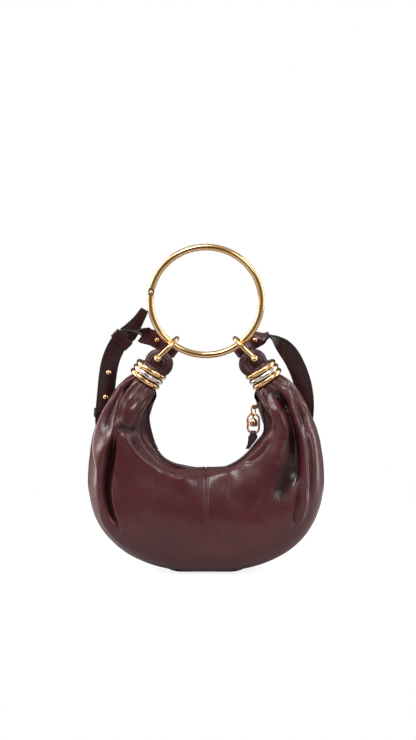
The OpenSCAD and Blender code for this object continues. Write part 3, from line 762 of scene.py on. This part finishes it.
(points, faces), base_rings = base_patch()
points[:, 2] += base_lift(points[:, 0])
made = piece("base_leather", points, outward(points, faces), BAG_LEATHER, "bag",
             ("base_patch",))
add_painted_shade(made, np.full(len(points), 0.45))
line = np.array(base_rings[2] + base_rings[2][:1], float) + [0, 0, -0.02]
points, faces = together(stitches(line, np.tile([0.0, 0.0, -1.0], (len(line), 1)), thick=0.25))
points[:, 2] = np.maximum(points[:, 2] + base_lift(points[:, 0]), 0.0)
piece("base_stitches", points, outward(points, faces), THREAD, "bag")


# ---------------------------------------------------------------- zip
def zip_strip(section, low, high, steps=160):
    """A solid that follows the zip from angle low to high. section gives its outline as (out, y) points."""
    rings = [[on_zip(a, y, out) for out, y in section] for a in np.linspace(low, high, steps)]
    return solid_tube(np.array(rings))


CHAIN_START, CHAIN_RUN = -142, 156  # degrees from +X


def zip_chain():
    """The closed chain: teeth from the front and the back, in turn."""
    parts = []
    pitch = 1.55
    half = math.degrees(0.55 / ZIP_RADIUS)
    count = int(math.radians(CHAIN_RUN) * ZIP_RADIUS / pitch)
    tooth = ((-1, -0.6), (-0.6, -1), (0.6, -1), (1, -0.6), (1, 0.6), (0.6, 1), (-0.6, 1), (-1, 0.6))
    for k in range(count):
        a = CHAIN_START + CHAIN_RUN * (k + 0.5) / count
        y_low, y_high = (-2.3, 1.0) if k % 2 else (-1.0, 2.3)
        rings = []
        for y, size in ((y_low, 0.7), (y_low + 0.3, 1), (0, 1), (y_high - 0.3, 1), (y_high, 0.7)):
            rings.append([on_zip(a + half * size * ca, y, 0.9 * size * ra) for ca, ra in tooth])
        parts.append(solid_tube(np.array(rings)))
    return together(parts)


points, faces = zip_chain()
piece("zip_chain", points, outward(points, faces), COIL, "bag", ("zip_teeth",))
TAPE_SECTION = [(-0.5, 1.3), (-0.3, 1.1), (0.5, 1.2), (0.6, 3.0), (0.5, 5.0), (-0.3, 5.1), (-0.5, 4.9),
                (-0.4, 3.0)]
for word, sign in (("front", -1), ("back", 1)):
    points, faces = zip_strip([(out, sign * y) for out, y in TAPE_SECTION], -200, 20)
    piece("zip_cloth_" + word, points, outward(points, faces), TAPE, "bag",
          ("zip_tape_" + word,))
STOP_SECTION = [(-1.3, -0.9), (-1.5, 0), (-1.3, 0.9), (-0.6, 1.3), (0.8, 1.3), (1.3, 0.7), (1.3, -0.7),
                (0.8, -1.3), (-0.6, -1.3)]
for word, low, high in (("left", -143.9, -142.2), ("right", 15.2, 16.9)):
    points, faces = zip_strip(STOP_SECTION, low, high, 5)
    piece("zip_stop_metal_" + word, points, outward(points, faces), ROSE_GOLD, "bag",
          ("zip_stop_" + word,))


# ---------------------------------------------------------------- strap
STRAP_WIDTH = 18.0
STRAP_THICK = 1.8


def band_outline(half_wide, half_thick):
    """A flat section with rounded edges and a fine crease beside each edge, counter-clockwise."""
    r = half_thick * 0.85
    w, h = half_wide, half_thick
    top = [(w, h - r), (w - 0.35 * r, h - 0.3 * r), (w - r, h), (w - 1.5, h), (w - 1.9, h - 0.16),
           (w - 2.3, h), (0, h)]
    right = top + [(-a, b) for a, b in top[-2::-1]]
    return np.array(right + [(a, -b) for a, b in right[::-1]])


def band(rows, thick, gap=1.6, sides=None):
    """A band along rows of x, y, z, twist in degrees and width. sides, if given, is its width direction."""
    path = even(spline(rows, 10), gap)
    centre = path[:, :3]
    heading = unit(np.gradient(centre, axis=0))
    if sides is None:
        flat = unit(np.stack([-heading[:, 2], np.zeros(len(path)), heading[:, 0]], 1))
        face = unit(np.cross(heading, flat))
        twist = np.radians(path[:, 3])[:, None]
        across_way = np.cos(twist) * flat + np.sin(twist) * face
    else:
        across_way = np.tile(np.array(sides, float), (len(path), 1))
    rise = unit(np.cross(heading, across_way))
    rings = []
    for k in range(len(path)):
        outline = band_outline(path[k, 4] / 2, thick / 2)
        rings.append(centre[k] + outline[:, :1] * across_way[k] + outline[:, 1:] * rise[k])
    return np.array(rings)


def band_piece(name, rings, body_name, replaced, end_taper=True, skin=STRAP_LEATHER):
    """A leather band with painted edges."""
    if end_taper:
        for end in (0, -1):
            middle = rings[end].mean(0)
            rings[end] = middle + (rings[end] - middle) * 0.97
    points, faces = solid_tube(rings)
    count = rings.shape[1]
    half = count // 2
    edge_spans = {0, 1, *range(half - 3, half + 2), *range(count - 3, count)}
    pick = [1 if k % count in edge_spans else 0 for k in range(len(faces) - 2)] + [1, 1]
    looks = [skin, STRAP_EDGE]
    return piece(name, points, outward(points, faces), looks, body_name, replaced, pick=pick)


# The strap's course, as rows of x, y, z, twist and width
W = STRAP_WIDTH
RIGHT_ROWS = [[60.5, 12.5, 236.6, 82, W], [64, 12.6, 236.2, 80, W], [70, 13, 233, 62, W],
              [77, 14, 226.2, 30, W], [84.5, 16, 216.5, 6, W], [89.8, 18, 207, 0, W],
              [94.6, 21, 195.5, 0, W], [98.4, 24, 182, 4, W], [100.4, 27, 165, 8, W],
              [99.6, 31, 146, 16, W], [96.4, 35.5, 124, 26, W], [90, 40, 100, 36, W], [79, 44, 76, 46, W],
              [63, 47, 54, 54, W], [42, 48.5, 37, 60, W], [20, 49, 28, 62, W], [0, 49, 25.5, 62, W]]
LEFT_ROWS = [[-79, 15.5, 236.6, 0, W], [-86, 16.2, 230.5, 0, W], [-92, 17.4, 220.5, 0, W],
             [-96.4, 19.6, 208.5, 0, W], [-99, 22.6, 195, 0, W], [-100.8, 26.6, 180, 2, W],
             [-102.8, 31, 163, 6, W], [-104, 35, 145, 14, W], [-101.4, 38.5, 122, 26, W],
             [-93.5, 41.5, 99, 36, W], [-81.5, 44.5, 75.6, 46, W], [-64.5, 47, 54, 54, W],
             [-43, 48.5, 37, 60, W], [-20, 49, 28, 62, W]]
SHORT_ROWS = [[-58, 12.5, 237.8, -30, W], [-63.2, 12.5, 239.6, -56, W], [-69, 12.8, 239.8, -74, W],
              [-74, 13.2, 238.6, -62, W], [-79, 13.4, 236.2, -22, W], [-86, 13.7, 230.5, 0, W],
              [-92, 14.9, 220.5, 0, W], [-96.4, 17.1, 208.5, 0, W], [-99, 20.1, 195, 0, W],
              [-100.8, 24, 180, -2, W], [-102.6, 28.3, 163, -6, W], [-103.4, 31, 151, -11, W]]
TONGUE_ROWS = [[-80.5, 16, 236, 0, W], [-77.2, 15.7, 238.8, 0, W], [-72.8, 16.2, 244.4, 0, 15],
               [-67.8, 16.6, 251.4, 0, 11.6], [-63.2, 16.8, 258.9, 0, 9.4], [-61.2, 16.8, 262.4, 0, 8]]
band_piece("strap_long_leather", band(RIGHT_ROWS + LEFT_ROWS[::-1], STRAP_THICK), "strap", ("strap_long",))
band_piece("strap_short_leather", band(SHORT_ROWS, STRAP_THICK), "strap", ("strap_short",))
band_piece("strap_tongue_leather", band(TONGUE_ROWS, STRAP_THICK, gap=1.2), "strap", ("strap_tongue",))


def keeper(name, node, turn_y, turn_x, turn_z, height):
    """A closed band of leather round the strap's layers."""
    middle = node_mid(node)
    wall, inside_wide, inside_thick = 1.3, STRAP_WIDTH + 0.8, 5.4
    corner = 0.22  # the smaller, the squarer
    outline = band_outline(height / 2, wall / 2)
    angles = np.linspace(0, 2 * math.pi, 49)[:-1]
    half_x, half_y = inside_wide / 2 + wall / 2, inside_thick / 2 + wall / 2
    rot = np.array(Euler((0, 0, math.radians(turn_z))).to_matrix())
    rot = np.array(Euler((math.radians(turn_x), 0, 0)).to_matrix()) @ rot
    rot = np.array(Euler((0, math.radians(turn_y), 0)).to_matrix()) @ rot
    rings = []
    for a in angles:
        px, py = half_x * spow(math.cos(a), corner), half_y * spow(math.sin(a), corner)
        out = unit(np.array([math.cos(a) / half_x, math.sin(a) / half_y, 0]))
        spot = np.array([px, py, 0])
        ring_points = spot + outline[:, 1:] * out + outline[:, :1] * UP
        rings.append(ring_points @ rot.T + middle)
    rings = np.array(rings)
    rows, cols = rings.shape[:2]
    last = (rows - 1) * cols
    faces = grid_faces(rows, cols, around=True)
    faces += [[last + c, last + (c + 1) % cols, (c + 1) % cols, c] for c in range(cols)]
    points = rings.reshape(-1, 3)
    piece(name, points, outward(points, faces), STRAP_LEATHER, "strap", (node,))


keeper("keeper_upper_leather", "strap_keeper_upper", 45, 0, 0, 10)
keeper("keeper_lower_leather", "strap_keeper_lower", 5, 13, 9, 8)


# ---------------------------------------------------------------- end tabs round the shackles' rear legs
def end_tab(side):
    """A strip folded round the leg and sewn to itself, that twists towards the strap."""
    word = "right" if side > 0 else "left"
    twist = (10, 25) if side > 0 else (20, 60)
    tilt = math.radians(37)
    leg_tilt = math.radians(44)
    reach = 12.0  # from the pin to the fold, along the leg
    leg = np.array([PIN[0] - reach * math.cos(leg_tilt), 12.5, PIN[2] + reach * math.sin(leg_tilt)])
    along = np.array([math.cos(tilt), 0, math.sin(tilt)])
    cross_way = np.array([-math.sin(tilt), 0, math.cos(tilt)])
    turn_r = 3.35
    sheet = 1.35
    flap = [(-8, turn_r), (-4, turn_r), (0, turn_r), (4, 1.9), (8, 0.8), (12, 0.72), (20, 0.72), (27, 0.72)]
    rows = [(px, -py) for px, py in flap[::-1]]
    rows += [(-8 - turn_r * math.cos(a), turn_r * math.sin(a)) for a in np.radians(np.arange(-75, 76, 25))]
    rows += flap
    route = []
    for px, py in rows:
        wide = lerp(10.6, 17.6, float(smooth((px + 9) / 24)))
        spot = leg + along * px + np.array([0, py, 0])
        route.append([spot[0], spot[1], spot[2], 0, wide])
    rings = band(route, sheet, gap=1.0, sides=cross_way)
    out = (rings - leg) @ along
    spin = smooth((out - twist[0]) / (twist[1] - twist[0])) * math.radians(82)
    wide, deep = (rings - leg) @ cross_way, rings[..., 1] - leg[1]
    sink = 4.2 * smooth((out - 12) / 14)
    shift = wide * np.cos(spin) - deep * np.sin(spin) - sink
    rings = leg + out[..., None] * along + shift[..., None] * cross_way
    rings[..., 1] += wide * np.sin(spin) + deep * np.cos(spin)
    if side < 0:
        rings = rings * [-1, 1, 1]
    band_piece("end_tab_" + word, rings, "shackle_" + word, ("strap_tab_" + word,), end_taper=False,
               skin=TAB_LEATHER)


for side in (-1, 1):
    end_tab(side)


# ---------------------------------------------------------------- zip pull's leather tab
def pull_tab():
    """A tapering strip that hangs doubled over the pull ring's lowest wire and curves aside."""
    ring_low, ring_high = node_box("pull_ring")
    tab_low = node_box("pull_tab")[0]
    wire_z = ring_low[2] + 1.1
    middle = np.array([(ring_low[0] + ring_high[0]) / 2, 0, wire_z])
    turn_z = math.radians(-18)
    aside = np.array([math.cos(turn_z), math.sin(turn_z), 0])
    ahead = np.array([-math.sin(turn_z), math.cos(turn_z), 0])
    drop = wire_z - tab_low[2]
    half = [(-6, 0.75, drop, 3.6), (-3.4, 0.75, drop * 0.72, 5), (-1.4, 0.8, drop * 0.45, 7.6),
            (-0.3, 1.3, drop * 0.22, 9), (0, 2.05, 0.6, 5.4), (0, 1.5, -1.6, 5)]
    rows = []
    for sideways, out, fall, wide in half + [(0, 0, -2.25, 5)] + [(a, -b, c, d) for a, b, c, d in half[::-1]]:
        spot = middle + aside * sideways + ahead * out - UP * fall
        rows.append([*spot, 0, wide])
    rings = band(rows, 1.2, gap=0.8, sides=aside)
    band_piece("pull_leather", rings, "tab", ("pull_tab",), end_taper=False)


pull_tab()

# ---------------------------------------------------------------- looks of the CAD pieces that stay
for name, node in frame["nodes"].items():
    if node.hide_render:
        continue
    if name.startswith("pull_") or name == "zip_slider":
        look = ROSE_GOLD
    elif name.startswith("collar") and name.endswith("middle"):
        look = SILVER
    elif name in ("inner_pocket", "base_plate"):
        look = LINING
    else:
        look = GOLD
    node.data.materials.clear()
    node.data.materials.append(look)


# ---------------------------------------------------------------- floor, light, camera
def floor():
    """A pale round floor that stays bright to the eye and doesn't flood the leather with reflected light."""
    look = Look("floor_look", specular_ior_level=0.1, emission_color=(1, 1, 1, 1))
    seen = look.add("ShaderNodeLightPath").outputs["Is Camera Ray"]
    look.send(look.ranged(seen, 0, 1, 0.05, 0.85), "Emission Strength")
    cloudy = look.ranged(look.noise(6, 3), 0.3, 0.7, 0.0, 1.0)
    tone = look.blend(cloudy, (0.4, 0.4, 0.4, 1), (0.43, 0.43, 0.43, 1))
    look.send(tone, "Base Color")
    look.send(look.ranged(look.noise(8, 2), 0.3, 0.7, 0.6, 0.75), "Roughness")
    spokes = np.linspace(0, 2 * math.pi, 97)[:-1]
    rings = np.array([[(r * math.cos(a), r * math.sin(a), -0.4) for a in spokes]
                      for r in (2, 60, 120, 180, 240, 300, 360, 420)])
    points, faces = rings.reshape(-1, 3), grid_faces(*rings.shape[:2], around=True)
    faces.append(list(range(len(spokes))))
    made = piece("studio_floor", points, faces, look.material)


def light(name, place, size, power):
    """A soft white panel turned to the bag."""
    data = bpy.data.lights.new(name, "AREA")
    data.shape, data.size, data.size_y, data.energy = "RECTANGLE", size[0], size[1], power
    made = bpy.data.objects.new(name, data)
    bpy.context.scene.collection.objects.link(made)
    made.location = place
    made.rotation_euler = (Vector((0, 0, 0.16)) - Vector(place)).to_track_quat("-Z", "Y").to_euler()


floor()
light("key", (-0.7, -0.9, 1.5), (0.9, 0.7), 16)
light("fill", (1.1, -1.4, 0.9), (0.5, 1.0), 8)
light("strip_left", (-1.15, 0.25, 0.5), (0.5, 1.5), 18)
light("strip_right", (1.2, 0.25, 0.5), (0.4, 1.5), 11)
sun_data = bpy.data.lights.new("overhead", "SUN")
sun_data.energy, sun_data.angle = 1.0, math.radians(20)
sun = bpy.data.objects.new("overhead", sun_data)
sun.rotation_euler = (math.radians(28), 0, math.radians(-12))
bpy.context.scene.collection.objects.link(sun)

# The room is white to the camera. To everything else it is dimmer straight in front of and behind the bag
# than to its sides, which gives the metal its dark bands
world = bpy.data.worlds.new("studio")
bpy.context.scene.world = world
world.use_nodes = True
nodes, links = world.node_tree.nodes, world.node_tree.links
seen = nodes.new("ShaderNodeLightPath").outputs["Is Camera Ray"]
parts = nodes.new("ShaderNodeSeparateXYZ")
links.new(nodes.new("ShaderNodeTexCoord").outputs["Generated"], parts.inputs[0])
depthwise = nodes.new("ShaderNodeMath")
depthwise.operation = "ABSOLUTE"
links.new(parts.outputs["Y"], depthwise.inputs[0])
room = nodes.new("ShaderNodeMapRange")
for socket, value in zip(room.inputs[1:5], (0.5, 0.95, 0.58, 0.1)):
    socket.default_value = value
links.new(depthwise.outputs[0], room.inputs[0])
strength = nodes.new("ShaderNodeMapRange")
strength.inputs[4].default_value = 1.0
links.new(seen, strength.inputs[0])
links.new(room.outputs[0], strength.inputs[3])
links.new(strength.outputs[0], nodes["Background"].inputs["Strength"])
nodes["Background"].inputs["Color"].default_value = (1, 1, 1, 1)

camera_data = bpy.data.cameras.new("camera")
camera = bpy.data.objects.new("camera", camera_data)
bpy.context.scene.collection.objects.link(camera)
bpy.context.scene.camera = camera
aim = Vector((2, 0, VIEW_MID)) * MM
away = Vector((0, -math.cos(VIEW_RISE), math.sin(VIEW_RISE))) * VIEW_AWAY * MM
camera.location = aim + away
camera.rotation_euler = (-away).to_track_quat("-Z", "Y").to_euler()
camera_data.lens = 85.6
camera_data.sensor_width = 36
bpy.context.scene.view_settings.view_transform = "Standard"
